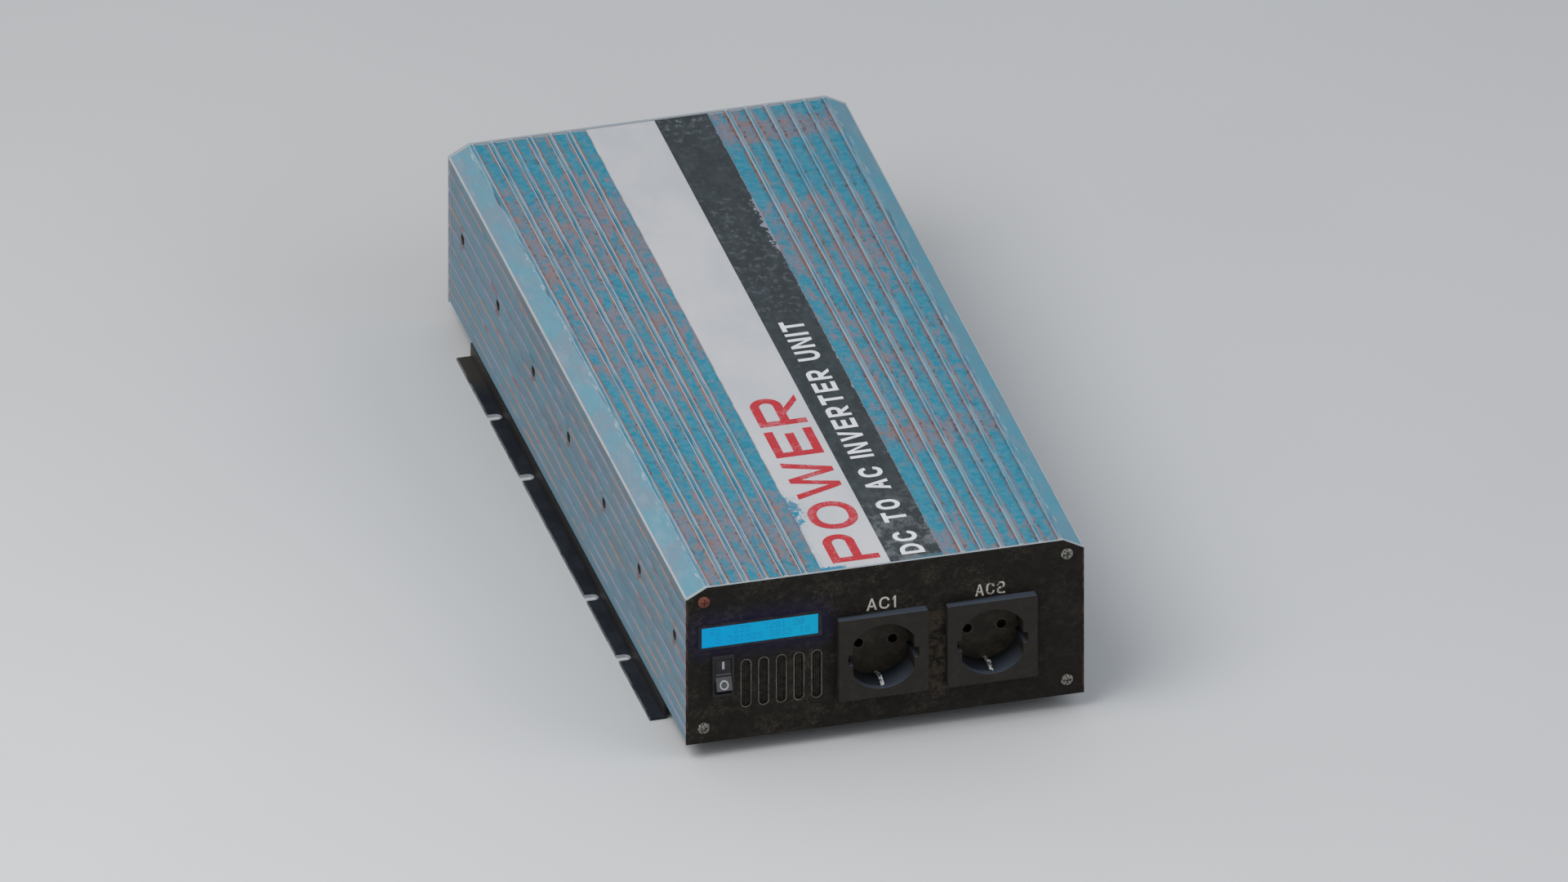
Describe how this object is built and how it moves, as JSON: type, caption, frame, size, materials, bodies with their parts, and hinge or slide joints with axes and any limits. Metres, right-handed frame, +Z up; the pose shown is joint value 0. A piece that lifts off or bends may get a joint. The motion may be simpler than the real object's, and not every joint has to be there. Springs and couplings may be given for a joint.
{
  "type": "power inverter",
  "caption": "Ribbed metal power inverter on a mounting tray, with mains sockets, rocker switch and lit display in front, and cooling fans and battery studs behind.",
  "frame": {"origin": "under the middle of the whole object, on the surface that the tray's flanges stand on", "axes": "+Z up, -Y the front with the sockets and the switch, +Y the rear with the fans and battery studs, -X the left side seen from the front"},
  "size_m": [0.2356, 0.5252, 0.1052],
  "materials": {
    "case_paint": "worn satin",
    "panel_paint": "dirty satin",
    "tray_paint": "worn satin",
    "zinc_steel": "satin",
    "rusty_steel": "rough",
    "light_film": "matte",
    "dark_film": "matte",
    "frame_plastic": "satin",
    "lit_window": "lit",
    "switch_plastic": "satin",
    "socket_plastic": "satin",
    "spring_steel": "bright",
    "brass": "satin",
    "fan_plastic": "matte",
    "guard_wire": "bright",
    "red_plastic": "gloss",
    "black_plastic": "gloss",
    "copper": "satin",
    "board_green": "satin",
    "aluminium": "satin",
    "ferrite": "matte",
    "enamelled_wire": "gloss",
    "can_sleeve": "gloss",
    "orange_plastic": "gloss",
    "film_case": "gloss"
  },
  "bodies": {
    "chassis": {"case_shell": "case_paint", "bottom_plate": "panel_paint", "mounting_tray": "tray_paint", "base_screws": "zinc_steel", "front_panel": "panel_paint", "front_panel_screws": "zinc_steel", "rear_panel": "panel_paint", "rear_panel_screws": "zinc_steel", "left_side_screws": "rusty_steel", "right_side_screws": "rusty_steel", "light_label": "light_film", "dark_label": "dark_film", "display_frame": "frame_plastic", "display_module": "lit_window", "display_board": "board_green", "display_standoffs": "zinc_steel", "display_screws": "zinc_steel", "switch_housing": "switch_plastic", "switch_terminals": "brass", "socket_1_body": "socket_plastic", "socket_2_body": "socket_plastic", "socket_1_earth_clips": "spring_steel", "socket_2_earth_clips": "spring_steel", "socket_1_contacts": "brass", "socket_2_contacts": "brass", "socket_screws": "zinc_steel", "left_fan_frame": "fan_plastic", "right_fan_frame": "fan_plastic", "left_fan_guard": "guard_wire", "right_fan_guard": "guard_wire", "fan_stators": "copper", "fan_screws": "zinc_steel", "positive_insulator": "red_plastic", "negative_insulator": "black_plastic", "battery_studs": "brass", "stud_nuts": "brass", "stud_washers": "zinc_steel", "stud_bushes": "black_plastic", "earth_stud": "brass", "earth_nuts": "zinc_steel", "bus_bars": "copper", "main_board": "board_green", "board_standoffs": "zinc_steel", "board_screws": "zinc_steel", "left_heat_bar": "aluminium", "right_heat_bar": "aluminium", "left_transistors": "black_plastic", "right_transistors": "black_plastic", "transformer_cores": "ferrite", "transformer_windings": "enamelled_wire", "input_capacitors": "can_sleeve", "fuses": "orange_plastic", "storage_capacitors": "can_sleeve", "film_capacitors": "film_case", "output_chokes": "enamelled_wire", "control_board": "board_green", "terminal_block": "orange_plastic"},
    "rocker": {"switch_rocker": "switch_plastic"},
    "left_fan": {"left_fan_rotor": "fan_plastic"},
    "right_fan": {"right_fan_rotor": "fan_plastic"}
  },
  "joints": [
    {"name": "rocker_tilt", "type": "hinge", "parent": "chassis", "child": "rocker", "pos_m": [-0.09, -0.2549, 0.0501], "axis": [1, 0, 0], "range_deg": [0, 22]},
    {"name": "left_fan_spin", "type": "hinge", "parent": "chassis", "child": "left_fan", "pos_m": [-0.033, 0.2206, 0.0597], "axis": [0, 1, 0], "continuous": true},
    {"name": "right_fan_spin", "type": "hinge", "parent": "chassis", "child": "right_fan", "pos_m": [0.033, 0.2206, 0.0597], "axis": [0, 1, 0], "continuous": true}
  ]
}
